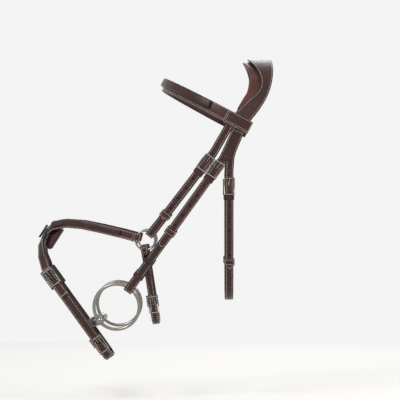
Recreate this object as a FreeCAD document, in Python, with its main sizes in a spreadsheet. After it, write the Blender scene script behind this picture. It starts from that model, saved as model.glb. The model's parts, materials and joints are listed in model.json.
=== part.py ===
import FreeCAD, Part
import math
import os

from FreeCAD import Placement, Rotation, Vector

# Snaffle bridle. Millimetres. +X points to the horse's rear, -Y is the near (left) side, +Z is up.
# The origin is the middle of the crown's underside, where the bridle rests on the poll.
# Near-side pieces are drawn, and their far-side twins are mirrored across Y = 0.

SIZES = (
    ("cheek_tilt", 7.3),        # degrees that the side straps lean inwards on their way down
    ("poll_out", 112.0),        # sideways distance of the plane of the side straps, at poll height
    ("head_half", 95.0),        # half width of the head below the ears
    ("head_rise", 110.0),       # height of the poll above the head's widest line
    ("pad_thick", 8.0),         # crown padding
    ("crown_thick", 4.0),       # crown leather
    ("fit_gap", 0.4),           # gap between layers that only rest on each other
    ("strap_thick", 3.4),       # doubled leather
    ("billet_thick", 2.6),      # single leather with the holes
    ("layer_gap", 0.2),         # gap between a strap and the billet over it
    ("cheek_width", 13.0),
    ("hanger_width", 12.0),
    ("throat_width", 12.0),
    ("jaw_width", 10.5),
    ("chin_width", 13.0),
    ("arm_width", 13.0),        # crossed noseband straps
    ("hole_pitch", 18.5),       # spacing of the billet holes
    ("hole_radius", 1.7),
    ("bar_radius", 1.1),        # centre bar of a buckle
    ("frame_radius", 1.0),      # outer bars of a buckle
    ("frame_half", 12.0),       # centre bar to end bar
    ("tongue_radius", 0.9),
    ("running_fit", 0.05),      # radial clearance of the tongue's eye on its bar
    ("bit_ring_radius", 34.0),  # centre line of the loose ring
    ("bit_wire", 2.5),
    ("nose_ring_radius", 14.4),
    ("nose_wire", 1.6),
    ("brow_height", 19.5),
    ("brow_thick", 2.5),
    ("roll_height", 12.5),
    ("roll_thick", 5.4),
    ("loop_length", 10.0),      # length of a sliding keeper
    ("loop_wall", 1.4),
    ("sleeve_radius", 6.6),
    ("core_radius", 4.0),
    ("guard_thick", 2.5),
)

os.makedirs("parts", exist_ok=True)
doc = FreeCAD.newDocument("snaffle_bridle")
sheet = doc.addObject("Spreadsheet::Sheet", "sizes")
for row, (alias, value) in enumerate(SIZES, start=1):
    sheet.set("A%d" % row, alias)
    sheet.set("B%d" % row, str(value))
    sheet.setAlias("B%d" % row, alias)
doc.recompute()

NODES = []


def size(alias):
    return float(sheet.get(alias))


def bind(thing, prop, formula):
    """Bind a property to a formula that names cells of the sheet."""
    thing.setExpression(prop, formula)


def node(thing):
    """Mark an object as one of the bridle's pieces."""
    NODES.append(thing)
    return thing


def mirrored(source, label):
    """The far-side twin of a near-side piece."""
    twin = doc.addObject("Part::Mirroring", label)
    twin.Source = source
    twin.Normal = Vector(0, 1, 0)
    return node(twin)


# ---------------------------------------------------------------- outlines of strap leather

def left_of(way):
    return Vector(-way.y, way.x, 0)


def face_edges(points, bends, offset):
    """One face of a strip: lines and arcs that keep a distance to the left of a path with rounded corners."""
    ways = [(b - a).normalize() for a, b in zip(points, points[1:])]
    start = points[0] + left_of(ways[0]) * offset
    first = start
    edges = []
    for corner, before, after, radius in zip(points[1:-1], ways, ways[1:], bends):
        turn = math.atan2(before.cross(after).z, before.dot(after))
        cut = radius * math.tan(abs(turn) / 2)
        side = math.copysign(1.0, turn)
        enter = corner - before * cut
        leave = corner + after * cut
        centre = enter + left_of(before) * (radius * side)
        arc_start = enter + left_of(before) * offset
        arc_end = leave + left_of(after) * offset
        middle = centre + (corner - centre).normalize() * (radius - side * offset)
        edges.append(Part.LineSegment(start, arc_start))
        edges.append(Part.Arc(arc_start, middle, arc_end))
        start = arc_end
    end = points[-1] + left_of(ways[-1]) * offset
    edges.append(Part.LineSegment(start, end))
    return edges, first, end


def strip_outline(path, bends, low, high, tip=0.0):
    """Closed outline between two faces of a strip. A tip above zero rounds its last end by that length."""
    points = [Vector(a, b, 0) for a, b in path]
    upper, upper_start, upper_end = face_edges(points, bends, high)
    lower, lower_start, lower_end = face_edges(points, bends, low)
    way = (points[-1] - points[-2]).normalize()
    if tip > 0:
        last = Part.Arc(upper_end, points[-1] + way * tip, lower_end)
    else:
        last = Part.LineSegment(upper_end, lower_end)
    return upper + lower + [last, Part.LineSegment(upper_start, lower_start)]


def rectangle(x_low, y_low, x_high, y_high):
    corners = [Vector(x_low, y_low, 0), Vector(x_high, y_low, 0), Vector(x_high, y_high, 0),
               Vector(x_low, y_high, 0)]
    return [Part.LineSegment(a, b) for a, b in zip(corners, corners[1:] + corners[:1])]


def circle(x, y, radius):
    return Part.Circle(Vector(x, y, 0), Vector(0, 0, 1), radius)


def sketch_on(body, role, edges, name):
    sketch = body.newObject("Sketcher::SketchObject", name)
    plane = next(f for f in body.Origin.OriginFeatures if f.Role == role)
    sketch.AttachmentSupport = [(plane, "")]
    sketch.MapMode = "FlatFace"
    sketch.addGeometry(edges, False)
    return sketch


def padded_body(label, role, edges, formula, place, symmetric):
    """A body padded from one closed outline, with its length bound to the sheet."""
    body = doc.addObject("PartDesign::Body", label)
    sketch = sketch_on(body, role, edges, label + "_outline")
    pad = body.newObject("PartDesign::Pad", label + "_pad")
    pad.Profile = sketch
    if symmetric:
        pad.SideType = "Symmetric"
    bind(pad, "Length", formula)
    body.Placement = place
    return body


def cut_through(body, role, edges, length):
    """Cut an outline through a body, the same length to both sides of its plane."""
    sketch = sketch_on(body, role, edges, body.Label + "_slot")
    pocket = body.newObject("PartDesign::Pocket", body.Label + "_cut")
    pocket.Profile = sketch
    pocket.SideType = "Symmetric"
    pocket.Length = length


# ---------------------------------------------------------------- primitives

def box(label, low, high, place):
    thing = doc.addObject("Part::Box", label)
    thing.Length = high[0] - low[0]
    thing.Width = high[1] - low[1]
    thing.Height = high[2] - low[2]
    thing.Placement = place * Placement(Vector(*low), Rotation())
    return thing


def rod(label, start, end, formula, place=Placement()):
    """A round bar between two points."""
    way = Vector(*end) - Vector(*start)
    thing = doc.addObject("Part::Cylinder", label)
    bind(thing, "Radius", formula)
    thing.Height = way.Length
    thing.Placement = place * Placement(Vector(*start), Rotation(Vector(0, 0, 1), way))
    return thing


def ball(label, centre, formula, place=Placement()):
    thing = doc.addObject("Part::Sphere", label)
    bind(thing, "Radius", formula)
    thing.Placement = place * Placement(Vector(*centre), Rotation())
    return thing


def torus(label, large, small, place):
    thing = doc.addObject("Part::Torus", label)
    bind(thing, "Radius1", large)
    bind(thing, "Radius2", small)
    thing.Placement = place
    return thing


def joined(label, pieces):
    thing = doc.addObject("Part::MultiFuse", label)
    thing.Shapes = pieces
    return thing


def cut(label, base, tool):
    thing = doc.addObject("Part::Cut", label)
    thing.Base = base
    thing.Tool = tool
    return thing


# ---------------------------------------------------------------- frames in which the straps are drawn
# In a strap frame X runs across the strap, Y runs up along it and Z points away from the horse.
# Its origin is the middle of the buckle's centre bar.

TILT = size("cheek_tilt")
CHEEK_PLANE = Placement(Vector(0, -size("poll_out"), 0), Rotation(Vector(1, 0, 0), 90 + TILT))
HALF_STRAP = size("strap_thick") / 2
BILLET_LOW = HALF_STRAP + size("layer_gap")
BILLET_HIGH = BILLET_LOW + size("billet_thick")
RETURN_MID = -(size("strap_thick") + size("layer_gap"))


def side_frame(across, along, lean):
    """Strap frame in the cheek plane: lean is the strap's angle from upright, towards the rear at the top."""
    return CHEEK_PLANE * Placement(Vector(across, along, HALF_STRAP), Rotation(Vector(0, 0, 1), -lean))


def round_frame(x, y, z, lean):
    """Strap frame of a strap that passes under the head: its Z is straight out to the near side."""
    turn = Rotation(Vector(0, 1, 0), lean).multiply(Rotation(Vector(1, 0, 0), 90))
    return Placement(Vector(x, y, z), turn)


HANGER = {"name": "noseband_hanger", "bar": (-77.2, -147.2), "lean": 37.36, "width": "hanger_width",
          "top": [(-39.0, -86.0)], "tip": 108.0, "runner": 99.7, "holes_up": 1}
CHEEK = {"name": "cheekpiece", "bar": (-62.0, -157.0), "lean": 35.52, "width": "cheek_width",
         "top": [(-26.5, -88.0)], "tip": 144.0, "runner": 117.0, "holes_up": 1}
THROAT = {"name": "throatlatch", "bar": (-41.5, -182.5), "lean": 0.0, "width": "throat_width",
          "top": [(-22.0, -92.0), (-40.0, -136.0)], "tip": 126.0, "runner": 115.0, "holes_up": 2}
SIDE_STRAPS = (HANGER, CHEEK, THROAT)
for strap in SIDE_STRAPS:
    strap["frame"] = side_frame(strap["bar"][0], strap["bar"][1], strap["lean"])

# The billet's slot at the tongue, and its holes above and below, as distances along the strap.
SLOT = (-1.6, 7.6)
TONGUE_HOLE = 7.0
SLOT_HALF = 1.5


# ---------------------------------------------------------------- buckles, tongues and keepers

def end_bar_rise(over):
    """Height of a buckle's end bars above its centre bar, clear of leather of that thickness."""
    return BILLET_LOW + size(over) + 0.25 + size("frame_radius")


def buckle(label, width, frame, over="billet_thick"):
    """Bent buckle frame: two end bars stand over the billet, the centre bar runs through the strap's end."""
    reach = size(width) / 2 + 0.3 + size("frame_radius")
    half = size("frame_half")
    rise = end_bar_rise(over)
    pieces = [rod(label + "_centre_bar", (-reach, 0, 0), (reach, 0, 0), "sizes.bar_radius", frame)]
    for name, along in (("top", half), ("bottom", -half)):
        pieces.append(rod("%s_%s_bar" % (label, name), (-reach, along, rise), (reach, along, rise),
                          "sizes.frame_radius", frame))
        for side, x in (("left", -reach), ("right", reach)):
            pieces.append(rod("%s_%s_%s" % (label, name, side), (x, 0, 0), (x, along, rise),
                              "sizes.frame_radius", frame))
            pieces.append(ball("%s_%s_%s_corner" % (label, name, side), (x, along, rise),
                               "sizes.frame_radius", frame))
    for side, x in (("left", -reach), ("right", reach)):
        pieces.append(ball("%s_%s_end" % (label, side), (x, 0, 0), "sizes.frame_radius", frame))
    return node(joined(label, pieces))


PIN_ROOT = 0.9
PIN_LENGTH = 14.0


def tongue(label, frame, over="billet_thick"):
    """Tongue: an eye on the centre bar, and a pin that rests on the top bar."""
    eye = rod(label + "_eye", (-1.45, 0, 0), (1.45, 0, 0), "sizes.strap_thick / 2", frame)
    clear = size("frame_radius") + size("tongue_radius") + size("running_fit")
    rise = end_bar_rise(over)
    reach = math.hypot(size("frame_half"), rise - PIN_ROOT)
    slope = math.tan(math.atan2(rise - PIN_ROOT, size("frame_half")) + math.asin(clear / reach))
    pin_start = (0, 0.6, PIN_ROOT + 0.6 * slope)
    pin_end = (0, PIN_LENGTH, PIN_ROOT + PIN_LENGTH * slope)
    pin = rod(label + "_pin", pin_start, pin_end, "sizes.tongue_radius", frame)
    tip = ball(label + "_tip", pin_end, "sizes.tongue_radius", frame)
    bore = rod(label + "_bore", (-3, 0, 0), (3, 0, 0), "sizes.bar_radius + sizes.running_fit", frame)
    return node(cut(label, joined(label + "_solid", [eye, pin, tip]), bore))


def keeper(label, width, length, wall, gap, middle, low, high, frame):
    """Leather loop round the layers between low and high, centred along the strap at middle."""
    half = size(width) / 2 + gap
    start = middle - length / 2
    end = middle + length / 2
    outer = box(label + "_outer", (-half - wall, start, low - gap - wall),
                (half + wall, end, high + gap + wall), frame)
    inner = box(label + "_inner", (-half, start - 1, low - gap), (half, end + 1, high + gap), frame)
    return cut(label, outer, inner)


def strap_end(label, role, path, bends, width, frame):
    """Strap that holds a buckle: it ends round the centre bar, and a slot there clears the tongue's eye."""
    bore = size("bar_radius") + size("running_fit")
    edges = strip_outline(path, bends, -HALF_STRAP, HALF_STRAP)
    edges.append(circle(0, 0, bore))
    body = padded_body(label, role, edges, "sizes." + width, frame, True)
    cut_through(body, "XY_Plane", rectangle(-1.75, -2.2, 1.75, 6.0), 12.0)
    return body


# ---------------------------------------------------------------- crown

def crown_arch(label, inner_offset, thickness, depth):
    """Front view of a layer over the poll: a half elliptic band, padded front to back."""
    arcs = []
    across = size("head_half")
    rise = size("head_rise")
    ends = []
    for offset in (inner_offset, inner_offset + thickness):
        ellipse = Part.Ellipse(Vector(0, -rise, 0), rise + offset, across + offset)
        ellipse.XAxis = Vector(0, 1, 0)
        arcs.append(Part.ArcOfEllipse(ellipse, -math.pi / 2, math.pi / 2))
        ends.append(across + offset)
    for side in (-1, 1):
        arcs.append(Part.LineSegment(Vector(side * ends[0], -rise, 0), Vector(side * ends[1], -rise, 0)))
    face = Part.Face(Part.Wire(Part.__sortEdges__([arc.toShape() for arc in arcs])))
    face.Placement = Placement(Vector(-depth / 2, 0, 0), Rotation(Vector(1, 1, 1), 120))
    thing = doc.addObject("Part::Feature", label)
    thing.Shape = face.extrude(Vector(depth, 0, 0))
    return thing


def side_shape(label, edges, width):
    """Side view of a layer, extruded across the head."""
    wire = Part.Wire(Part.__sortEdges__([edge.toShape() for edge in edges]))
    face = Part.Face(wire)
    face.Placement = Placement(Vector(0, width / 2, 0), Rotation(Vector(1, 0, 0), 90))
    thing = doc.addObject("Part::Feature", label)
    thing.Shape = face.extrude(Vector(0, -width, 0))
    return thing


def arc_through(*points):
    return Part.Arc(*[Vector(a, b, 0) for a, b in points])


def line_between(a, b):
    return Part.LineSegment(Vector(a[0], a[1], 0), Vector(b[0], b[1], 0))


REAR_EDGE = [line_between((24, 22), (25, -5)), arc_through((25, -5), (20.5, -34), (7.5, -61.5))]
CROWN_SIDE = REAR_EDGE + [
    line_between((7.5, -61.5), (-13, -87)), line_between((-13, -87), (-20, -102)),
    line_between((-20, -102), (-44, -92)), line_between((-44, -92), (-34, -73)),
    line_between((-34, -73), (-8, -48)), arc_through((-8, -48), (5, -33), (6, -19)),
    arc_through((6, -19), (0, -4), (-15, 14)), line_between((-15, 14), (-15, 22)),
    line_between((-15, 22), (24, 22))]
PADDING_SIDE = REAR_EDGE + [
    line_between((7.5, -61.5), (3, -66)), line_between((3, -66), (-30, -66)), line_between((-30, -66),
                                                                                           (-20, -49)),
    arc_through((-20, -49), (-11, -30), (-9.5, -16)), arc_through((-9.5, -16), (-13, -5), (-22, 9)),
    line_between((-22, 9), (-22, 22)), line_between((-22, 22), (24, 22))]

CROWN_INNER = size("pad_thick") + size("fit_gap")
ARCH_DEPTH = 120.0
ARCH_WIDTH = 260.0

crown_band = doc.addObject("Part::Common", "crown_band")
crown_band.Base = crown_arch("crown_arch", CROWN_INNER, size("crown_thick"), ARCH_DEPTH)
crown_band.Tool = side_shape("crown_side", CROWN_SIDE, ARCH_WIDTH)
crown_padding = doc.addObject("Part::Common", "crown_padding")
crown_padding.Base = crown_arch("padding_arch", 0.0, size("pad_thick"), ARCH_DEPTH)
crown_padding.Tool = side_shape("padding_side", PADDING_SIDE, ARCH_WIDTH)
node(crown_padding)


def along_strap(strap, distance):
    """Point of the cheek plane at a distance up the strap from its buckle's centre bar."""
    lean = math.radians(strap["lean"])
    return (strap["bar"][0] + distance * math.sin(lean), strap["bar"][1] + distance * math.cos(lean))


def billet(strap):
    """Billet of the crown: it runs down over the strap below, with a slot for the tongue and its holes."""
    half = size(strap["width"]) / 2
    path = strap["top"] + [along_strap(strap, 20.0), along_strap(strap, -strap["tip"] + half)]
    bends = [60.0] * (len(path) - 2)
    edges = strip_outline(path, bends, -half, half, tip=half)
    lean = math.radians(strap["lean"])
    slot = []
    for x, y in ((-SLOT_HALF, SLOT[0]), (SLOT_HALF, SLOT[0]), (SLOT_HALF, SLOT[1]), (-SLOT_HALF, SLOT[1])):
        slot.append((strap["bar"][0] + x * math.cos(lean) + y * math.sin(lean),
                     strap["bar"][1] - x * math.sin(lean) + y * math.cos(lean)))
    edges += [line_between(a, b) for a, b in zip(slot, slot[1:] + slot[:1])]
    steps = [-step for step in range(1, 7) if step * size("hole_pitch") < strap["tip"]]
    steps += range(1, strap["holes_up"] + 1)
    for step in steps:
        x, y = along_strap(strap, TONGUE_HOLE + step * size("hole_pitch"))
        edges.append(circle(x, y, size("hole_radius")))
    place = CHEEK_PLANE * Placement(Vector(0, 0, HALF_STRAP + BILLET_LOW), Rotation())
    return padded_body(strap["name"] + "_billet", "XY_Plane", edges, "sizes.billet_thick", place, False)


near_billets = joined("near_billets", [billet(strap) for strap in SIDE_STRAPS])
far_billets = doc.addObject("Part::Mirroring", "far_billets")
far_billets.Source = near_billets
far_billets.Normal = Vector(0, 1, 0)
node(joined("crownpiece", [crown_band, near_billets, far_billets]))


# ---------------------------------------------------------------- browband
# Its own frame: -X forwards along the band's slope, Z across its height, origin where it meets the crown.

BROW_SLOPE = 28.1
BROW_FRAME = Placement(Vector(-38, 0, -81), Rotation(Vector(0, 1, 0), BROW_SLOPE))
BROW_INNER = 107.8
BROW_FORWARD = 112.5


def brow_arc(label, inner, outer, start_angle, low, height):
    """Half elliptic band round the forehead, from one side's start angle to the other's."""
    edges = []
    ends = []
    for offset in (inner, outer):
        ellipse = Part.Ellipse(Vector(0, 0, 0), BROW_FORWARD + offset, BROW_INNER + offset)
        ellipse.XAxis = Vector(-1, 0, 0)
        arc = Part.ArcOfEllipse(ellipse, -start_angle, start_angle)
        edges.append(arc)
        ends.append((arc.StartPoint, arc.EndPoint))
    edges.append(Part.LineSegment(ends[0][0], ends[1][0]))
    edges.append(Part.LineSegment(ends[0][1], ends[1][1]))
    body = padded_body(label, "XY_Plane", edges, height,
                       BROW_FRAME * Placement(Vector(0, 0, low), Rotation()), False)
    return body


half_height = size("brow_height") / 2
brow_band = brow_arc("brow_band", 0.0, size("brow_thick"), math.pi / 2, -half_height, "sizes.brow_height")
brow_pieces = [brow_band]
LOOP_CAVITY = (-6.5, 28.5)
for side, name in ((-1, "near"), (1, "far")):
    sides = sorted((side * 93.5, side * (BROW_INNER + size("brow_thick"))))
    hollow = sorted((side * 96.0, side * BROW_INNER))
    outer = box("brow_loop_%s_outer" % name, (LOOP_CAVITY[0] - 2.5, sides[0], -half_height),
                (LOOP_CAVITY[1] + 2.5, sides[1], half_height), BROW_FRAME)
    inner = box("brow_loop_%s_inner" % name, (LOOP_CAVITY[0], hollow[0], -half_height - 1),
                (LOOP_CAVITY[1], hollow[1], half_height + 1), BROW_FRAME)
    brow_pieces.append(cut("brow_loop_" + name, outer, inner))
node(joined("browband_strap", brow_pieces))

ROLL_ANGLE = math.radians(71)
node(brow_arc("browband_roll", size("brow_thick") + 0.1, size("brow_thick") + 0.1 + size("roll_thick"),
              ROLL_ANGLE, half_height - size("roll_height") - 0.5, "sizes.roll_height"))


# ---------------------------------------------------------------- rings of the noseband and the bit

NOSE_RING = Vector(-167.5, -77.3, -263.1)
BIT_RING = Vector(-211.2, -65.5, -363.3)
NOSE_RING_PLACE = Placement(NOSE_RING, Rotation(Vector(1, 0, 0), 90))
BIT_RING_PLACE = Placement(BIT_RING, Rotation(Vector(1, 0, 0), 90))
for label, large, small, place in (("noseband_ring", "nose_ring_radius", "nose_wire", NOSE_RING_PLACE),
                                   ("bit_ring", "bit_ring_radius", "bit_wire", BIT_RING_PLACE)):
    near_ring = node(torus("near_" + label, "sizes." + large, "sizes." + small, place))
    mirrored(near_ring, "far_" + label)


def along_to(strap, ring, radius):
    """Distance down a side strap from its bar to the wire of the ring that it holds."""
    down = strap["frame"].inverse().multVec(ring)
    return -down.y - radius


WEB_HANGER = 0.9  # room beside the noseband ring's wire, inside the turned strap
WEB_CHEEK = 1.0
RING_SLACK = 0.3  # room of the wire where the strap turns round it
HANGER_REACH = 1.6
CHEEK_REACH = 1.0
PATH_TRIM = 0.05  # keeps each bend just under the depth of its step
hanger_wire = along_to(HANGER, NOSE_RING, size("nose_ring_radius"))
cheek_wire = along_to(CHEEK, BIT_RING, size("bit_ring_radius"))
hanger_bend = size("nose_wire") + WEB_HANGER + HALF_STRAP
cheek_bend = size("bit_wire") + WEB_CHEEK + HALF_STRAP
hanger_end = -(hanger_wire + HANGER_REACH + size("nose_wire") + RING_SLACK + HALF_STRAP)
cheek_end = -(cheek_wire + CHEEK_REACH + size("bit_wire") + RING_SLACK + HALF_STRAP)

hanger_path = [(3.0, 0), (hanger_end, 0), (hanger_end, -2 * hanger_bend), (hanger_end + 14, -2 * hanger_bend),
               (hanger_end + 24, RETURN_MID), (hanger_end + 32, RETURN_MID)]
hanger_bends = [hanger_bend - PATH_TRIM, hanger_bend - PATH_TRIM, 8.0, 8.0]
cheek_path = [(3.0, 0), (cheek_end, 0), (cheek_end, -2 * cheek_bend), (cheek_end + 12, -2 * cheek_bend),
              (cheek_end + 22, RETURN_MID), (cheek_end + 72, RETURN_MID)]
cheek_bends = [cheek_bend - PATH_TRIM, cheek_bend - PATH_TRIM, 6.0, 6.0]
near_hanger = node(strap_end("near_noseband_hanger", "YZ_Plane", hanger_path, hanger_bends,
                             HANGER["width"], HANGER["frame"]))
mirrored(near_hanger, "far_noseband_hanger")
near_cheek = node(strap_end("near_cheekpiece", "YZ_Plane", cheek_path, cheek_bends, CHEEK["width"],
                            CHEEK["frame"]))
mirrored(near_cheek, "far_cheekpiece")

# The hook stud fastens the cheekpiece's folded end on its inner face.
stud_at = cheek_end + 48.0
stud_face = RETURN_MID - HALF_STRAP
near_stud = node(joined("near_hook_stud", [
    rod("stud_post", (0, stud_at, stud_face), (0, stud_at, stud_face - 2.0), "sizes.frame_radius",
        CHEEK["frame"]),
    rod("stud_head", (0, stud_at, stud_face - 2.0), (0, stud_at, stud_face - 3.4), "sizes.frame_radius * 2.5",
        CHEEK["frame"])]))
mirrored(near_stud, "far_hook_stud")

# ---------------------------------------------------------------- throatlatch, one strap under the throat

THROAT_BAR = THROAT["frame"].Base
throat_frame = round_frame(THROAT_BAR.x, 0, THROAT_BAR.z, 0)
throat_side = -THROAT_BAR.y
THROAT_DROP = 171.0
throat_foot = throat_side - THROAT_DROP * math.tan(math.radians(TILT))
lean_in = math.tan(math.radians(TILT))
throat_path = [(3.0, throat_side + 3.0 * lean_in), (-THROAT_DROP, throat_foot), (-THROAT_DROP, -throat_foot),
               (3.0, -throat_side - 3.0 * lean_in)]
throat_edges = strip_outline(throat_path, [42.0, 42.0], -HALF_STRAP, HALF_STRAP)
for side in (-1, 1):
    throat_edges.append(circle(0, side * throat_side, size("bar_radius") + size("running_fit")))
throat_body = padded_body("throatlatch_strap", "YZ_Plane", throat_edges, "sizes.throat_width",
                          throat_frame, True)
cut_through(throat_body, "XY_Plane", rectangle(-1.75, -2.2, 1.75, 6.0), 400.0)
node(throat_body)


# ---------------------------------------------------------------- hardware of the side straps

def fixed_loop(strap):
    """Stitched keeper just below the buckle's bottom bar."""
    return keeper(strap["name"] + "_loop", strap["width"], 7.0, 1.0, 0.2, -17.2, -HALF_STRAP, BILLET_HIGH,
                  strap["frame"])


def back_loop(number, distance):
    """Keeper that holds the cheekpiece's folded end against it."""
    return keeper("cheek_back_loop_%d" % number, "cheek_width", 6.0, 1.2, 0.3, -distance,
                  RETURN_MID - HALF_STRAP, HALF_STRAP, CHEEK["frame"])


def sliding_keeper(label, strap):
    return node(keeper(label, strap["width"], size("loop_length"), size("loop_wall"), 0.3, -strap["runner"],
                       -HALF_STRAP, BILLET_HIGH, strap["frame"]))


for strap in SIDE_STRAPS:
    name = strap["name"]
    near_buckle = buckle("near_%s_buckle" % name, strap["width"], strap["frame"])
    mirrored(near_buckle, "far_%s_buckle" % name)
    near_tongue = tongue("near_%s_tongue" % name, strap["frame"])
    mirrored(near_tongue, "far_%s_tongue" % name)
    near_runner = sliding_keeper("near_%s_runner" % name, strap)
    mirrored(near_runner, "far_%s_runner" % name)
near_loops = node(joined("near_fixed_keepers", [fixed_loop(strap) for strap in SIDE_STRAPS]
                         + [back_loop(1, 172.0), back_loop(2, 200.0)]))
mirrored(near_loops, "far_fixed_keepers")


# ---------------------------------------------------------------- straps that hug the muzzle

def ribbon(label, stations, width, thickness, outward=0.0, upward=0.0):
    """Ribbon through stations, each a point and the direction that faces away from the head there."""
    sections = []
    for index, (point, facing) in enumerate(stations):
        before = stations[max(index - 1, 0)][0]
        after = stations[min(index + 1, len(stations) - 1)][0]
        way = (after - before).normalize()
        out = (facing - way * facing.dot(way)).normalize()
        up = out.cross(way) if out.cross(way).z > 0 else way.cross(out)
        middle = point + out * outward + up * upward
        corners = [middle + up * (width / 2 * a) + out * (thickness / 2 * b)
                   for a, b in ((-1, -1), (1, -1), (1, 1), (-1, 1))]
        sections.append(Part.makePolygon(corners + corners[:1]))
    thing = doc.addObject("Part::Feature", label)
    thing.Shape = Part.makeLoft(sections, True, True)
    return thing


CHIN_LEAN = -35.9
CHIN_BAR = Vector(-311.0, 44.0, -320.0)
chin_plane = round_frame(CHIN_BAR.x, 0, CHIN_BAR.z, CHIN_LEAN)
chin_down = chin_plane.Rotation.multVec(Vector(0, -1, 0))
ARM_OUT = BILLET_LOW + size("billet_thick") / 2

# Near ring to the crossing on the nose, then round to the far side's chin buckle.
ARM = [((-183.7, -77.3, -258.6), (0, -1, 0)), ((-205, -74, -253), (-0.10, -0.99, 0)),
       ((-235, -67, -246), (-0.25, -0.97, 0)), ((-264, -56, -240), (-0.38, -0.92, 0.05)),
       ((-290, -40, -238), (-0.55, -0.82, 0.15)), ((-309, -21, -243), (-0.75, -0.58, 0.32)),
       ((-319, 0, -254), (-0.84, 0, 0.54)), ((-326, 19, -270), (-0.82, 0.45, 0.35)),
       ((-326, 34, -287), (-0.60, 0.78, 0.15)), ((-321, 43.5, -301), (-0.25, 0.97, 0))]
CROSSING_LIFT = {5: 2.4, 6: 4.2, 7: 2.4}


def arm_stations(mirror, lifted):
    """Stations of one crossed strap. The strap that lies on top is lifted where the two cross."""
    flip = -1 if mirror else 1
    stations = []
    for index, (point, facing) in enumerate(ARM):
        place = Vector(point[0], flip * point[1], point[2])
        out = Vector(facing[0], flip * facing[1], facing[2])
        if lifted:
            place = place + out * CROSSING_LIFT.get(index, 0.0)
        stations.append((place, out))
    side = flip * (CHIN_BAR.y + ARM_OUT)
    for distance in (-13.0, 34.0):
        place = Vector(CHIN_BAR.x, side, CHIN_BAR.z) + chin_down * distance
        stations.append((place, Vector(0, flip, 0)))
    return stations


def arm(label, mirror, lifted):
    """Crossed noseband strap: sewn round its ring, and a billet with a slot at its other end."""
    flip = -1 if mirror else 1
    band = ribbon(label + "_band", arm_stations(mirror, lifted), size("arm_width"), size("billet_thick"))
    centre = Vector(NOSE_RING.x - 13.1, flip * NOSE_RING.y, NOSE_RING.z + 3.7)
    axis = Rotation(Vector(0, 1, 0), 15.7)
    half = size("arm_width") / 2
    low = Placement(centre, axis)
    tube = rod(label + "_tube", (0, 0, -half), (0, 0, half), "sizes.nose_wire + 3.6", low)
    hole = rod(label + "_hole", (0, 0, -half - 1), (0, 0, half + 1), "sizes.nose_wire + 1.2", low)
    frame = round_frame(CHIN_BAR.x, 0, CHIN_BAR.z, CHIN_LEAN)
    slot = box(label + "_slot", (-SLOT_HALF, SLOT[0], -100), (SLOT_HALF, SLOT[1], 0), frame)
    if mirror:
        slot.Placement = frame * Placement(Vector(-SLOT_HALF, SLOT[0], 0), Rotation())
    return node(cut(label, joined(label + "_solid", [band, tube]), joined(label + "_tools", [hole, slot])))


arm("near_noseband_strap", False, False)
arm("far_noseband_strap", True, True)
ROLL_OUT = size("billet_thick") / 2 + 0.5 + 2.1
node(ribbon("near_noseband_roll", arm_stations(False, False)[1:6], 8.5, 4.2, ROLL_OUT, 1.8))
node(ribbon("far_noseband_roll", arm_stations(True, True)[1:6], 8.5, 4.2, ROLL_OUT, 1.8))

# Patch over the crossing, and the pad under it.
crossing = Placement(Vector(-319, 0, -254), Rotation(Vector(0, 1, 0), -57.3))
node(box("crossing_patch", (-11, -13, 4.2 + 1.3 + 0.6), (11, 13, 4.2 + 1.3 + 0.6 + 2.4), crossing))
PAD_STATIONS = ((-23, -9.0), (-12, -2.4), (0, 0), (12, -2.4), (23, -9.0))
pad_depth = -(size("billet_thick") / 2 + 1.6 + 3.4)
pad_sections = []
for y, depth in PAD_STATIONS:
    corners = [crossing.multVec(Vector(x, y, pad_depth + depth + z))
               for x, z in ((-18, -3.4), (18, -3.4), (18, 3.4), (-18, 3.4))]
    pad_sections.append(Part.makePolygon(corners + corners[:1]))
nose_pad = doc.addObject("Part::Feature", "nose_pad")
nose_pad.Shape = Part.makeLoft(pad_sections, True, True)
node(nose_pad)

# ---------------------------------------------------------------- chin strap

CHIN_LENGTH = 125.8
CHIN_FOOT = 150.0
near_chin_frame = round_frame(CHIN_BAR.x, -CHIN_BAR.y, CHIN_BAR.z, CHIN_LEAN)
chin_buckle_side = CHIN_BAR.y - BILLET_LOW - HALF_STRAP
near_chin = strap_end("near_chin_strap", "YZ_Plane", [(3.0, 0), (-CHIN_LENGTH - 22.0, 0)], [], "chin_width",
                      near_chin_frame)
cut_through(near_chin, "XY_Plane", rectangle(-SLOT_HALF, -CHIN_LENGTH + SLOT[0], SLOT_HALF,
                                             -CHIN_LENGTH + SLOT[1] + 1.2),
            12.0)
node(near_chin)
far_chin_path = [(3.0, -CHIN_BAR.y), (-CHIN_FOOT, -CHIN_BAR.y), (-CHIN_FOOT, chin_buckle_side),
                 (-CHIN_LENGTH + 3.0, chin_buckle_side)]
far_chin_edges = strip_outline(far_chin_path, [20.0, 20.0], -HALF_STRAP, HALF_STRAP)
far_chin_edges.append(circle(0, -CHIN_BAR.y, size("bar_radius") + size("running_fit")))
far_chin_edges.append(circle(-CHIN_LENGTH, chin_buckle_side, size("bar_radius") + size("running_fit")))
far_chin = padded_body("far_chin_strap", "YZ_Plane", far_chin_edges, "sizes.chin_width", chin_plane, True)
cut_through(far_chin, "XY_Plane", rectangle(-1.75, -2.2, 1.75, 6.0), 200.0)
cut_through(far_chin, "XY_Plane", rectangle(-1.75, -CHIN_LENGTH - 2.2, 1.75, -CHIN_LENGTH + 6.0),
            2 * (CHIN_BAR.y - HALF_STRAP) - 0.3)
node(far_chin)

# ---------------------------------------------------------------- jaw strap

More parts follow.
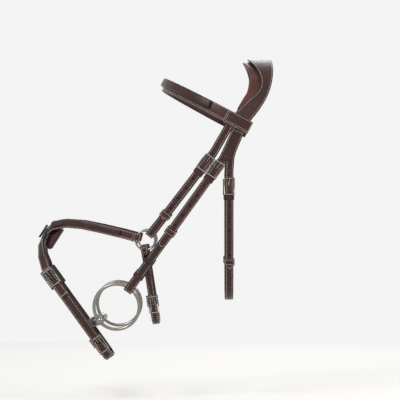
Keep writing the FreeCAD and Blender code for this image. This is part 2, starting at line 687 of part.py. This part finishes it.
JAW_LEAN = -8.7
jaw_plane = round_frame(NOSE_RING.x - 1.7, 0, NOSE_RING.z - 14.4, JAW_LEAN)
JAW_BAR = -84.0
JAW_FOOT = -113.0
JAW_HALF = 58.0
jaw_side = -NOSE_RING.y
jaw_billet_path = [(-4.6, jaw_side), (-11, 64.5), (-36, JAW_HALF), (-108, JAW_HALF)]
jaw_bar_side = JAW_HALF - BILLET_LOW - size("billet_thick") / 2
jaw_far_path = [(-4.6, -jaw_side), (-11, -64.5), (-36, -JAW_HALF), (JAW_FOOT, -JAW_HALF),
                (JAW_FOOT, jaw_bar_side),
                (JAW_BAR + 3.0, jaw_bar_side)]
JAW_FRAME = jaw_plane * Placement(Vector(0, JAW_BAR, jaw_bar_side), Rotation())
CHIN_FRAME = chin_plane * Placement(Vector(0, -CHIN_LENGTH, chin_buckle_side), Rotation())


def jaw_strap(label, edges, tube_side, slot_low, slot_high):
    """Strap of the jaw: sewn round the noseband ring at its top, with a slot for the jaw buckle's tongue."""
    body = padded_body(label + "_band", "YZ_Plane", edges, "sizes.jaw_width", jaw_plane, True)
    place = jaw_plane * Placement(Vector(0, 0.7, tube_side), Rotation())
    half = size("jaw_width") / 2
    tube = rod(label + "_tube", (-half, 0, 0), (half, 0, 0), "sizes.nose_wire + 4.1", place)
    hole = rod(label + "_hole", (-half - 1, 0, 0), (half + 1, 0, 0), "sizes.nose_wire + 2.2", place)
    slot = box(label + "_slot", slot_low, slot_high, JAW_FRAME)
    return node(cut(label, joined(label + "_solid", [body, tube]), joined(label + "_tools", [hole, slot])))


half_billet = size("billet_thick") / 2
jaw_strap("near_jaw_strap", strip_outline(jaw_billet_path, [4.0, 12.0], -half_billet, half_billet), jaw_side,
          (-SLOT_HALF, SLOT[0], HALF_STRAP), (SLOT_HALF, SLOT[1], 9.0))
jaw_far_edges = strip_outline(jaw_far_path, [4.0, 12.0, 24.0, 22.0], -HALF_STRAP, HALF_STRAP)
jaw_far_edges.append(circle(JAW_BAR, jaw_bar_side, size("bar_radius") + size("running_fit")))
jaw_strap("far_jaw_strap", jaw_far_edges, -jaw_side, (-1.75, -2.2, -3.0), (1.75, 6.0, 3.0))

# ---------------------------------------------------------------- buckles of the noseband

near_d = buckle("near_noseband_buckle", "chin_width", near_chin_frame)
mirrored(near_d, "far_noseband_buckle")
near_d_tongue = tongue("near_noseband_tongue", near_chin_frame)
mirrored(near_d_tongue, "far_noseband_tongue")
buckle("jaw_buckle", "jaw_width", JAW_FRAME)
tongue("jaw_tongue", JAW_FRAME)
buckle("chin_buckle", "chin_width", CHIN_FRAME, "strap_thick")
tongue("chin_tongue", CHIN_FRAME, "strap_thick")


def guard(label, frame, low, high, wide, top):
    """Rounded pad between a buckle and the skin."""
    return box(label, (-wide / 2, low, top - size("guard_thick")), (wide / 2, high, top), frame)


guard_top = -HALF_STRAP - 0.4
near_guard = guard("near_noseband_guard", near_chin_frame, -17, 15, 21.0, guard_top)
far_guard = doc.addObject("Part::Mirroring", "far_noseband_guard")
far_guard.Source = near_guard
far_guard.Normal = Vector(0, 1, 0)
node(joined("buckle_guards", [
    near_guard, far_guard, guard("jaw_guard", JAW_FRAME, -4, 15, 18.0, guard_top - 0.3),
    guard("chin_guard", CHIN_FRAME, -1, 15, 21.0, guard_top)]))

# ---------------------------------------------------------------- mouthpiece

WIRE_POINT = Vector(-26.4, 0, -21.4)
JOINT = Vector(-254, 0, -391)


def cannon(side, flip):
    """Half of the mouthpiece: its end runs on the ring's wire, its eye links with the other half's eye."""
    outer = Vector(BIT_RING.x + WIRE_POINT.x, flip * BIT_RING.y, BIT_RING.z + WIRE_POINT.z)
    inner = Vector(JOINT.x, flip * -8.0, JOINT.z)
    way = (inner - outer).normalize()
    label = side + "_cannon"

    def at(distance):
        spot = outer + way * distance
        return (spot.x, spot.y, spot.z)

    barrel = rod(label + "_barrel", at(-5.5), at(9.5), "sizes.core_radius + 2.4")
    cap = ball(label + "_cap", at(-5.5), "sizes.core_radius + 2.4")
    core = rod(label + "_core", at(9.0), (inner.x, inner.y, inner.z), "sizes.core_radius - 0.8")
    spin = Rotation() if flip > 0 else Rotation(Vector(0, 1, 0), 90)
    eye = doc.addObject("Part::Torus", label + "_eye")
    eye.Radius1 = 5.6
    eye.Radius2 = 2.1
    eye.Placement = Placement(Vector(JOINT.x, flip * -3.0, JOINT.z), spin)
    path = doc.addObject("Part::Torus", label + "_path")
    bind(path, "Radius1", "sizes.bit_ring_radius")
    bind(path, "Radius2", "sizes.bit_wire + 0.35")
    path.Placement = Placement(Vector(BIT_RING.x, flip * BIT_RING.y, BIT_RING.z),
                               Rotation(Vector(1, 0, 0), 90))
    node(cut(label, joined(label + "_solid", [barrel, cap, core, eye]), path))
    sleeve = rod(label + "_sleeve_out", at(9.8), at(51.0), "sizes.sleeve_radius")
    bore = rod(label + "_sleeve_bore", at(9.0), at(52.0), "sizes.core_radius - 0.8")
    node(cut(side + "_sleeve", sleeve, bore))


cannon("near", 1)
cannon("far", -1)

# ---------------------------------------------------------------- check and write

doc.recompute()
for thing in doc.Objects:
    if "Invalid" in thing.State or "Error" in thing.State:
        raise RuntimeError("%s could not be built" % thing.Name)
for piece in NODES:
    if piece.Shape.isNull() or not piece.Shape.isValid() or not piece.Shape.Solids:
        raise RuntimeError("%s has no valid shape" % piece.Label)
for piece in NODES:
    piece.Shape.exportStep("parts/%s.step" % piece.Label)
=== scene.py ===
import json
import math

import bmesh
import bpy
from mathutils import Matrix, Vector


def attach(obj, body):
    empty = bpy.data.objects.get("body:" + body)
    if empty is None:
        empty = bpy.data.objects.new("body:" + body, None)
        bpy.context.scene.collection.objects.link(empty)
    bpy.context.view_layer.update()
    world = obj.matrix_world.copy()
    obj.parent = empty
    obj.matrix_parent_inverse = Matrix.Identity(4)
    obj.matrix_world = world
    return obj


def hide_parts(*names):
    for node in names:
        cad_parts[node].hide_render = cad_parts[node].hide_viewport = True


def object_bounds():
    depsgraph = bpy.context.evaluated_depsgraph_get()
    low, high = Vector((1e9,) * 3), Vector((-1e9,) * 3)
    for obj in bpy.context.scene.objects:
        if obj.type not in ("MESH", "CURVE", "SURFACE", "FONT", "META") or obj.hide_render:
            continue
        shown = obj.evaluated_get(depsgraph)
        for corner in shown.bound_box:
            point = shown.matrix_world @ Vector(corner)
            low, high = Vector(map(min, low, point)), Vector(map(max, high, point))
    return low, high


bl_info = {
    "name": "Snaffle bridle",
    "version": (1, 0, 0),
    "blender": (4, 5, 0),
    "location": "View3D > Sidebar > Bridle",
    "description": "Leather, padding, thread and steel of a snaffle bridle around its packed frame",
    "category": "Object",
}

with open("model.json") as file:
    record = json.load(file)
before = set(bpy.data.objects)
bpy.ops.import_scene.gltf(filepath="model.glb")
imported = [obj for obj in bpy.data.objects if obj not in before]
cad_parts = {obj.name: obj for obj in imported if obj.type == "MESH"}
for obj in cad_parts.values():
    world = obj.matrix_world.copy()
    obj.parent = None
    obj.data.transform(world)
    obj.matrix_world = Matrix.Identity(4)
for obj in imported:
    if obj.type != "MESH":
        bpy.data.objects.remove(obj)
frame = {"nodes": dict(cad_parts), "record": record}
CAD_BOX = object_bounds()
MM = 0.001
BODY_OF = {node: body for body, nodes in frame["record"]["behaviour"]["bodies"].items() for node in nodes}
SLOT_OF = {part["node"]: part["material_slot"] for part in frame["record"]["subparts"]}



def grey(value):
    """A neutral colour of that brightness."""
    return [value, value, value, 1.0]


# The line through the middle of the head that the bridle goes round.
HEAD_TOP = Vector((-0.02, 0, -0.09))
HEAD_END = Vector((-0.26, 0, -0.34))

FACE_SHARE = 0.55  # a face is a strap's face, and not its edge, if this much of it looks away from the head
SMOOTH_TURN = math.radians(25)  # faces that turn less than this belong to one surface
SHORTEST_ROW = 30 * MM
SHORTEST_EDGE = 0.0001 * MM
FLANGE_LOWER = 0.5  # how far upwards a row's inward side points where the strap's lower edge is
FANCY_LEAN = math.radians(38)
THREAD_SIDES = 6
THREAD_SHADE = 0.55

# Along half a stitch: its share of the length, of the thread's thickness, and the rise in thread radii.
STITCH_SHAPE = ((-1.0, 0.35, -0.3), (-0.55, 1.0, 0.35), (0.55, 1.0, 0.35), (1.0, 0.35, -0.3))

# Finish, fill, rounds of smoothing and swell in metres of each padded node.
PADS = {
    "crown_padding": ("lining", 0.6, 8, 0.0),
    "browband_roll": ("padded", 0.8, 24, 0.5 * MM),
    "near_noseband_roll": ("padded", 0.8, 16, 0.3 * MM),
    "far_noseband_roll": ("padded", 0.8, 16, 0.3 * MM),
    "nose_pad": ("padded", 0.6, 30, 0.4 * MM),
    # The buckle guards are real pieces, but their near-black edge paint is painted shade behind the buckles.
    "buckle_guards": ("edge", 0.5, 10, 0.1 * MM),
}

# Name, place, diameter and power in watts.
LAMPS = (("key", (-0.9, -1.6, 1.1), 0.7, 20), ("rim", (1.2, -0.8, 0.9), 0.5, 9), ("back", (0.2, 1.6, 0.9), 1.0, 9))
FLOOR_RADIUS = 1.6
FLOOR_DROP = 60 * MM  # the bridle hangs this far above the floor
VIEW_CENTRE = Vector((-0.0855, 0, -0.2025))
VIEW_DISTANCE = 4.0
NEAR_SIDE = 0.085  # the near side's straps stand this far before the middle
VIEW_WIDTH = 0.6  # width seen at the near side
# The studio from straight down, through the horizon, to straight up.
SKY = ((0.0, grey(0.3)), (0.44, grey(0.9)), (0.56, grey(0.9)), (1.0, grey(0.8)))


# ---------------------------------------------------------------- settings a user would change

def linear(hex_value):
    """sRGB hex to linear colour."""
    channels = [int(hex_value[i:i + 2], 16) / 255 for i in (0, 2, 4)]
    return [c / 12.92 if c <= 0.04045 else ((c + 0.055) / 1.055) ** 2.4 for c in channels] + [1.0]


def colour_setting(name, description, hex_value):
    """A colour that a user can change."""
    return bpy.props.FloatVectorProperty(name=name, description=description, subtype="COLOR", size=4, min=0.0,
                                         max=1.0, default=linear(hex_value))


def length_setting(name, description, millimetres):
    """A length that a user can change."""
    return bpy.props.FloatProperty(name=name, description=description, unit="LENGTH", default=millimetres * MM)


class BridleColours(bpy.types.PropertyGroup):
    """Colours of the leathers, thread, metal, rubber and floor."""
    leather: colour_setting("Leather", "Havana bridle leather", "3a1a15")
    leather_dark: colour_setting("Leather shade", "Darkest dye in the grain", "110605")
    lining: colour_setting("Lining", "Reddish lining leather", "58291d")
    # This near-black is real paint on the strap edges and painted shade behind the buckles on the buckle guards.
    edge: colour_setting("Edge paint", "Sealed black strap edges", "171110")
    thread: colour_setting("Thread", "Waxed cream thread", "c4b0a4")
    steel: colour_setting("Steel", "Polished stainless steel", "8a857f")
    rubber: colour_setting("Rubber", "Moulded rubber of the bit", "17181a")
    floor: colour_setting("Floor", "Pale studio floor", "e0dfdd")


class BridleSizes(bpy.types.PropertyGroup):
    """Sizes of the hand work."""
    stitch_pitch: length_setting("Stitch pitch", "Distance between stitches", 3.4)
    stitch_length: length_setting("Stitch length", "Visible length of one stitch", 2.3)
    stitch_inset: length_setting("Stitch inset", "Distance from the strap's edge", 1.9)
    stitch_width: length_setting("Thread width", "Thickness of the thread", 0.75)
    edge_round: length_setting("Edge rounding", "Rounding of the strap edges", 0.55)
    pad_voxel: length_setting("Pad mesh size", "Mesh size of the padded pieces", 1.1)


def colours():
    return bpy.context.scene.bridle_colours


def sizes():
    return bpy.context.scene.bridle_sizes


# ---------------------------------------------------------------- materials

def per_mm(size_mm):
    """Scale of a pattern whose features are that many millimetres across."""
    return 1 / (size_mm * MM)


def add_node(tree, kind, settings=None, inputs=None, stops=()):
    """Add a node. An input is a value or a socket to link from; stops are the positions and colours of a ramp."""
    new = tree.nodes.new(kind)
    for key, value in (settings or {}).items():
        setattr(new, key, value)
    for key, value in (inputs or {}).items():
        if isinstance(value, bpy.types.NodeSocket):
            tree.links.new(value, new.inputs[key])
        else:
            new.inputs[key].default_value = value
    for _ in stops[2:]:
        new.color_ramp.elements.new(0.5)
    if stops:
        for element, (position, colour) in zip(new.color_ramp.elements, stops):
            element.position = position
            element.color = colour
    return new


def new_material(name, settings):
    """A material with a surface shader whose plain values are set on its own sockets."""
    material = bpy.data.materials.new(name)
    material.use_nodes = True
    tree = material.node_tree
    shader = tree.nodes["Principled BSDF"]
    for key, value in settings.items():
        shader.inputs[key].default_value = value
    place = add_node(tree, "ShaderNodeTexCoord").outputs["Object"]
    return material, tree, shader, place


def raise_relief(tree, shader, height, strength, depth_mm):
    """Turn a height pattern into relief of that depth on the surface."""
    relief = add_node(tree, "ShaderNodeBump", inputs={"Height": height, "Strength": strength,
                                                      "Distance": depth_mm * MM})
    tree.links.new(relief.outputs[0], shader.inputs["Normal"])


# Bridle leather is drum-dyed cowhide, waxed by hand. The dye gives cloudy patches about 22 mm across with a
# fine mottle, the hide a pebbled grain and 6 mm creases, and the wax a soft satin shine.
def leather_material(name, base, dark, grain_mm, rough_low, rough_high, bump):
    material, tree, shader, place = new_material(name, {"IOR": 1.5, "Coat Weight": 0.1, "Coat Roughness": 0.28,
                                                        "Specular IOR Level": 0.3})
    cloud = add_node(tree, "ShaderNodeTexNoise", inputs={"Vector": place, "Scale": per_mm(22), "Detail": 5.0,
                                                         "Roughness": 0.62})
    mottle = add_node(tree, "ShaderNodeTexNoise", inputs={"Vector": place, "Scale": per_mm(1.4), "Detail": 3.0})
    dye = add_node(tree, "ShaderNodeMath", {"operation": "MULTIPLY_ADD"},
                   {0: mottle.outputs["Fac"], 1: 0.35, 2: cloud.outputs["Fac"]})
    colour = add_node(tree, "ShaderNodeValToRGB", inputs={"Fac": dye.outputs[0]},
                      stops=[(0.42, dark), (0.86, base)])
    tree.links.new(colour.outputs["Color"], shader.inputs["Base Color"])
    pebble = add_node(tree, "ShaderNodeTexVoronoi", {"feature": "DISTANCE_TO_EDGE"},
                      {"Vector": place, "Scale": per_mm(grain_mm), "Randomness": 0.9})
    crease = add_node(tree, "ShaderNodeTexNoise", inputs={"Vector": place, "Scale": per_mm(6), "Detail": 6.0})
    rough = add_node(tree, "ShaderNodeMapRange", inputs={"Value": crease.outputs["Fac"], "To Min": rough_low,
                                                         "To Max": rough_high})
    tree.links.new(rough.outputs[0], shader.inputs["Roughness"])
    height = add_node(tree, "ShaderNodeMath", {"operation": "MULTIPLY_ADD"},
                      {0: crease.outputs["Fac"], 1: 0.5, 2: pebble.outputs["Distance"]})
    raise_relief(tree, shader, height.outputs[0], bump, 0.25)
    return material


# Strap edges are sanded, painted black and burnished: smooth and satin, with a slight wave every 2.5 mm.
# The same near-black also covers the buckle guards, where it is painted shade behind the buckles.
def edge_paint_and_shade_material():
    material, tree, shader, place = new_material("black_edge_paint_and_painted_shade", {"Base Color": colours().edge,
                                                                      "Roughness": 0.4})
    wave = add_node(tree, "ShaderNodeTexNoise", inputs={"Vector": place, "Scale": per_mm(2.5)})
    raise_relief(tree, shader, wave.outputs["Fac"], 0.25, 0.2)
    return material


# Waxed linen thread is twisted from several strands: cream and fairly matte, with the twist as diagonal bands.
# The bands are drawn 3 mm apart, coarser than the real twist, so that they show.
def thread_material():
    material, tree, shader, place = new_material("waxed_linen_thread", {"Roughness": 0.62})
    twist = add_node(tree, "ShaderNodeTexWave", {"bands_direction": "DIAGONAL"},
                     {"Vector": place, "Scale": per_mm(3.0), "Distortion": 1.0})
    light = colours().thread
    shade = [channel * THREAD_SHADE for channel in light[:3]] + [1.0]
    colour = add_node(tree, "ShaderNodeValToRGB", inputs={"Fac": twist.outputs["Fac"]},
                      stops=[(0.1, shade), (0.7, light)])
    tree.links.new(colour.outputs["Color"], shader.inputs["Base Color"])
    return material


# Stainless steel, cast and polished: bright, with a faint haze and handling marks about 5 mm across.
def steel_material():
    material, tree, shader, place = new_material("polished_stainless_steel", {"Base Color": colours().steel,
                                                                              "Metallic": 1.0})
    haze = add_node(tree, "ShaderNodeTexNoise", inputs={"Vector": place, "Scale": per_mm(5), "Detail": 6.0,
                                                        "Roughness": 0.7})
    rough = add_node(tree, "ShaderNodeMapRange", inputs={"Value": haze.outputs["Fac"], "To Min": 0.16,
                                                         "To Max": 0.34})
    tree.links.new(rough.outputs[0], shader.inputs["Roughness"])
    raise_relief(tree, shader, haze.outputs["Fac"], 0.08, 0.1)
    return material


# Vulcanised rubber from a blasted mould: black and matte, with an even 0.7 mm grit.
def rubber_material():
    material, tree, shader, place = new_material("moulded_black_rubber", {"Base Color": colours().rubber,
                                                                          "Roughness": 0.55, "IOR": 1.52})
    grit = add_node(tree, "ShaderNodeTexNoise", inputs={"Vector": place, "Scale": per_mm(0.7), "Detail": 2.0})
    raise_relief(tree, shader, grit.outputs["Fac"], 0.3, 0.1)
    return material


# Matte floor paint put on with a roller: pale and even, with an 8 mm roller texture.
def floor_material():
    material, tree, shader, place = new_material("matte_pale_floor", {"Base Color": colours().floor,
                                                                      "Roughness": 0.85})
    roller = add_node(tree, "ShaderNodeTexNoise", inputs={"Vector": place, "Scale": per_mm(8)})
    raise_relief(tree, shader, roller.outputs["Fac"], 0.05, 0.3)
    return material


MAKERS = {
    "bridle": lambda: leather_material("waxed_bridle_leather", colours().leather, colours().leather_dark,
                                       grain_mm=0.9, rough_low=0.34, rough_high=0.5, bump=0.35),
    "padded": lambda: leather_material("soft_padded_leather", colours().leather, colours().leather_dark,
                                       grain_mm=1.1, rough_low=0.3, rough_high=0.46, bump=0.4),
    "lining": lambda: leather_material("smooth_lining_leather", colours().lining, colours().leather_dark,
                                       grain_mm=0.7, rough_low=0.36, rough_high=0.55, bump=0.22),
    "edge": edge_paint_and_shade_material,
    "thread": thread_material,
    "steel": steel_material,
    "rubber": rubber_material,
    "floor": floor_material,
}
MADE = {}


def finish_of(name):
    """The finish of that name, made once."""
    if name not in MADE:
        MADE[name] = MAKERS[name]()
    return MADE[name]


# ---------------------------------------------------------------- mesh work

def head_axis_point(place):
    """Nearest point on a line down the middle of the head, from the poll to the mouth."""
    way = HEAD_END - HEAD_TOP
    share = max(0.0, min(1.0, (place - HEAD_TOP).dot(way) / way.length_squared))
    return HEAD_TOP + way * share


def outward(place):
    """Direction away from the head at a place on the bridle."""
    return (place - head_axis_point(place)).normalized()


def add_piece(name, mesh, node):
    """Put a mesh in the scene, riding on its CAD node's body."""
    piece = bpy.data.objects.new(name, mesh)
    bpy.context.scene.collection.objects.link(piece)
    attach(piece, BODY_OF[node])
    return piece


def work_mesh(node):
    """A copy of a CAD node's mesh, welded, for the hand work."""
    work = bmesh.new()
    work.from_mesh(frame["nodes"][node].data)
    bmesh.ops.remove_doubles(work, verts=work.verts, dist=0.01 * MM)
    return work


def apply_modifiers(piece):
    """Bake the modifiers of a piece into its mesh."""
    graph = bpy.context.evaluated_depsgraph_get()
    mesh = bpy.data.meshes.new_from_object(piece.evaluated_get(graph))
    piece.modifiers.clear()
    piece.data = mesh


def leather_piece(node):
    """Cut strap: rounded edges, grain on its faces and black paint on its edges."""
    work = work_mesh(node)
    bmesh.ops.dissolve_limit(work, angle_limit=math.radians(0.5), verts=work.verts, edges=work.edges)
    mesh = bpy.data.meshes.new("leather_" + node)
    work.to_mesh(mesh)
    work.free()
    piece = add_piece("leather_" + node, mesh, node)
    bevel = piece.modifiers.new("rounding", "BEVEL")
    bevel.width = sizes().edge_round
    bevel.segments = 3
    bevel.limit_method = "ANGLE"
    bevel.angle_limit = math.radians(38)
    apply_modifiers(piece)
    mesh = piece.data
    mesh.materials.append(finish_of("bridle"))
    mesh.materials.append(finish_of("edge"))
    for face in mesh.polygons:
        facing = abs(face.normal.dot(outward(face.center)))
        face.material_index = 0 if facing > FACE_SHARE else 1
    mesh.shade_smooth()
    mesh.set_sharp_from_angle(angle=math.radians(32))
    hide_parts(node)
    return piece


def padded_piece(node):
    """Padded leather over foam: the plain solid is remeshed, its corners are smoothed, and it swells a little."""
    finish, fill, rounds, puff = PADS[node]
    work = work_mesh(node)
    mesh = bpy.data.meshes.new("pad_" + node)
    work.to_mesh(mesh)
    work.free()
    piece = add_piece("pad_" + node, mesh, node)
    remesh = piece.modifiers.new("skin", "REMESH")
    remesh.mode = "VOXEL"
    remesh.voxel_size = sizes().pad_voxel
    relax = piece.modifiers.new("relax", "SMOOTH")
    relax.factor = 0.5
    relax.iterations = rounds
    swell = piece.modifiers.new("swell", "DISPLACE")
    swell.mid_level = 0.0
    swell.strength = puff
    apply_modifiers(piece)
    piece.data.materials.append(finish_of(finish))
    piece.data.shade_smooth()
    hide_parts(node)
    return piece


def boundary_loops(faces):
    """Ordered boundary of a set of faces: for each loop, its (start, end, face) edges in walking order."""
    chosen = set(faces)
    following = {}
    for face in faces:
        for corner in face.loops:
            others = [f for f in corner.edge.link_faces if f is not face]
            if not others or others[0] not in chosen:
                following[corner.vert] = (corner.edge.other_vert(corner.vert), face)
    loops = []
    while following:
        start = next(iter(following))
        chain = []
        vert = start
        while vert in following:
            after, face = following.pop(vert)
            chain.append((vert.co.copy(), after.co.copy(), face.normal.copy()))
            vert = after
        loops.append(chain)
    return loops


def smooth_regions(work):
    """Groups of outward faces that join smoothly, in the order of the mesh, so that every run gives the same."""
    work.faces.ensure_lookup_table()
    left = {face.index for face in work.faces
            if face.normal.dot(outward(face.calc_center_median())) > FACE_SHARE}
    for seed in sorted(left):
        if seed not in left:
            continue
        left.discard(seed)
        region = [work.faces[seed]]
        for face in region:
            for edge in face.edges:
                for other in edge.link_faces:
                    if other.index in left and face.normal.angle(other.normal, 0.0) < SMOOTH_TURN:
                        left.discard(other.index)
                        region.append(other)
        yield region


def add_stitch(work, place, along, out):
    """One stitch: a short thread that rises from the leather and dips back into it."""
    half = sizes().stitch_length / 2
    radius = sizes().stitch_width / 2
    across = along.cross(out).normalized()
    rings = []
    for share, size, lift in STITCH_SHAPE:
        centre = place + along * (share * half) + out * (lift * radius)
        ring = []
        for step in range(THREAD_SIDES):
            angle = step * 2 * math.pi / THREAD_SIDES
            ring.append(work.verts.new(centre + (across * math.cos(angle) + out * math.sin(angle)) * radius * size))
        rings.append(ring)
    for low, high in zip(rings, rings[1:]):
        for step in range(THREAD_SIDES):
            after = (step + 1) % THREAD_SIDES
            work.faces.new((low[step], low[after], high[after], high[step]))
    work.faces.new(rings[0][::-1])
    work.faces.new(rings[-1])


def stitching_piece(node, inset=None, fancy_rows=()):
    """Rows of stitches inside the edges of a strap's outer face. Fancy rows are slanted, along the lower edge."""
    inset = inset or sizes().stitch_inset
    source = work_mesh(node)
    thread = bmesh.new()
    count = 0
    for region in smooth_regions(source):
        for chain in boundary_loops(region):
            total = sum((b - a).length for a, b, normal in chain)
            if total < SHORTEST_ROW:
                continue
            travelled = 0.0
            mark = sizes().stitch_pitch / 2
            for start, end, normal in chain:
                length = (end - start).length
                if length < SHORTEST_EDGE:
                    continue
                way = (end - start) / length
                inwards = normal.cross(way).normalized()
                while mark < travelled + length:
                    place = start + way * (mark - travelled) + inwards * inset
                    add_stitch(thread, place, way, normal)
                    count += 1
                    if inwards.z > FLANGE_LOWER:
                        for row, depth in enumerate(fancy_rows):
                            lean = FANCY_LEAN if row % 2 == 0 else -FANCY_LEAN
                            slanted = way * math.cos(lean) + inwards * math.sin(lean)
                            add_stitch(thread, place + inwards * (depth - inset), slanted, normal)
                    mark += sizes().stitch_pitch
                travelled += length
    source.free()
    if count == 0:
        raise RuntimeError("no edge to stitch on " + node)
    mesh = bpy.data.meshes.new("stitching_" + node)
    bmesh.ops.recalc_face_normals(thread, faces=thread.faces)
    thread.to_mesh(mesh)
    thread.free()
    piece = add_piece("stitching_" + node, mesh, node)
    mesh.materials.append(finish_of("thread"))
    mesh.shade_smooth()
    return piece


def dress(node, finish):
    """Give a CAD node of the right shape its real finish."""
    mesh = frame["nodes"][node].data
    mesh.materials.clear()
    mesh.materials.append(finish_of(finish))


def both_sides(name):
    """The near and the far node of that name."""
    return ["near_" + name, "far_" + name]


# ---------------------------------------------------------------- operators

class BRIDLE_OT_crown(bpy.types.Operator):
    """Crownpiece with its billets, and the crown padding"""
    bl_idname = "bridle.crown"
    bl_label = "Crown"

    def execute(self, context):
        leather_piece("crownpiece")
        stitching_piece("crownpiece")
        padded_piece("crown_padding")
        return {"FINISHED"}


class BRIDLE_OT_browband(bpy.types.Operator):
    """Browband with its raised roll"""
    bl_idname = "bridle.browband"
    bl_label = "Browband"

    def execute(self, context):
        leather_piece("browband_strap")
        stitching_piece("browband_strap", 1.2 * MM, (3.6 * MM,))
        padded_piece("browband_roll")
        return {"FINISHED"}


class BRIDLE_OT_side_straps(bpy.types.Operator):
    """Cheekpieces, noseband hangers, throatlatch and all their keepers"""
    bl_idname = "bridle.side_straps"
    bl_label = "Side straps"

    def execute(self, context):
        for node in both_sides("cheekpiece") + both_sides("noseband_hanger") + ["throatlatch_strap"]:
            leather_piece(node)
            stitching_piece(node)
        for kind in ("cheekpiece", "noseband_hanger", "throatlatch"):
            for node in both_sides(kind + "_runner"):
                leather_piece(node)
                stitching_piece(node, 1.5 * MM)
        for node in both_sides("fixed_keepers"):
            leather_piece(node)
        return {"FINISHED"}


class BRIDLE_OT_noseband(bpy.types.Operator):
    """Crossed noseband with its rolls, patch and pad, chin and jaw straps"""
    bl_idname = "bridle.noseband"
    bl_label = "Noseband"

    def execute(self, context):
        for node in both_sides("chin_strap") + both_sides("jaw_strap") + ["crossing_patch"]:
            leather_piece(node)
            stitching_piece(node)
        for node in both_sides("noseband_strap"):
            leather_piece(node)
            stitching_piece(node, 1.2 * MM, (2.6 * MM,))
        for node in both_sides("noseband_roll") + ["nose_pad", "buckle_guards"]:
            padded_piece(node)
        return {"FINISHED"}


class BRIDLE_OT_hardware(bpy.types.Operator):
    """Buckles, tongues, studs and noseband rings in steel"""
    bl_idname = "bridle.hardware"
    bl_label = "Hardware"

    def execute(self, context):
        for node, slot in SLOT_OF.items():
            if slot == "stainless_steel":
                dress(node, "steel")
        return {"FINISHED"}


class BRIDLE_OT_bit(bpy.types.Operator):
    """Rubber sleeves of the mouthpiece"""
    bl_idname = "bridle.bit"
    bl_label = "Bit"

    def execute(self, context):
        for node in both_sides("sleeve"):
            dress(node, "rubber")
        return {"FINISHED"}


def soft_lamp(name, place, target, diameter, power):
    """A round soft lamp that looks at the target."""
    light = bpy.data.lights.new(name, "AREA")
    light.shape = "DISK"
    light.size = diameter
    light.energy = power
    lamp = bpy.data.objects.new(name, light)
    lamp.location = place
    lamp.rotation_euler = (target - Vector(place)).to_track_quat("-Z", "Y").to_euler()
    bpy.context.scene.collection.objects.link(lamp)


def studio_world():
    """Pale light from all round, a little darker overhead and dark below the floor."""
    world = bpy.data.worlds.new("studio")
    world.use_nodes = True
    tree = world.node_tree
    direction = add_node(tree, "ShaderNodeTexCoord").outputs["Generated"]
    height = add_node(tree, "ShaderNodeSeparateXYZ", inputs={"Vector": direction}).outputs["Z"]
    level = add_node(tree, "ShaderNodeMapRange", inputs={"Value": height, "From Min": -1.0, "To Min": 0.0})
    sky = add_node(tree, "ShaderNodeValToRGB", inputs={"Fac": level.outputs[0]}, stops=SKY)
    tree.links.new(sky.outputs["Color"], tree.nodes["Background"].inputs["Color"])
    return world


class BRIDLE_OT_stage(bpy.types.Operator):
    """Pale floor, soft lights and the camera"""
    bl_idname = "bridle.stage"
    bl_label = "Stage"

    def execute(self, context):
        scene = context.scene
        low, high = (Vector(corner) for corner in CAD_BOX)
        middle = (low + high) / 2
        work = bmesh.new()
        bmesh.ops.create_circle(work, cap_ends=True, segments=96, radius=FLOOR_RADIUS)
        mesh = bpy.data.meshes.new("floor")
        work.to_mesh(mesh)
        work.free()
        floor = bpy.data.objects.new("floor", mesh)
        floor.location = (middle.x, 0, low.z - FLOOR_DROP)
        scene.collection.objects.link(floor)
        mesh.materials.append(finish_of("floor"))
        scene.world = studio_world()
        scene.view_settings.view_transform = "Standard"
        for name, place, diameter, power in LAMPS:
            soft_lamp(name, place, middle, diameter, power)
        camera = bpy.data.cameras.new("camera")
        camera.lens = camera.sensor_width * (VIEW_DISTANCE - NEAR_SIDE) / VIEW_WIDTH
        eye = bpy.data.objects.new("camera", camera)
        eye.location = VIEW_CENTRE - Vector((0, VIEW_DISTANCE, 0))
        eye.rotation_euler = Vector((0, 1, 0)).to_track_quat("-Z", "Y").to_euler()
        scene.collection.objects.link(eye)
        scene.camera = eye
        return {"FINISHED"}


class BRIDLE_PT_panel(bpy.types.Panel):
    """Buttons for each group of the bridle"""
    bl_label = "Snaffle bridle"
    bl_idname = "BRIDLE_PT_panel"
    bl_space_type = "VIEW_3D"
    bl_region_type = "UI"
    bl_category = "Bridle"

    def draw(self, context):
        for operator in OPERATORS:
            self.layout.operator(operator.bl_idname)


OPERATORS = (BRIDLE_OT_crown, BRIDLE_OT_browband, BRIDLE_OT_side_straps, BRIDLE_OT_noseband, BRIDLE_OT_hardware,
             BRIDLE_OT_bit, BRIDLE_OT_stage)
CLASSES = (BridleColours, BridleSizes) + OPERATORS + (BRIDLE_PT_panel,)


def register():
    for new_class in CLASSES:
        bpy.utils.register_class(new_class)
    bpy.types.Scene.bridle_colours = bpy.props.PointerProperty(type=BridleColours)
    bpy.types.Scene.bridle_sizes = bpy.props.PointerProperty(type=BridleSizes)


def unregister():
    del bpy.types.Scene.bridle_sizes
    del bpy.types.Scene.bridle_colours
    for old_class in reversed(CLASSES):
        bpy.utils.unregister_class(old_class)


def main():
    register()
    for operator in OPERATORS:
        group, action = operator.bl_idname.split(".")
        getattr(getattr(bpy.ops, group), action)()


if __name__ == "__main__":
    main()
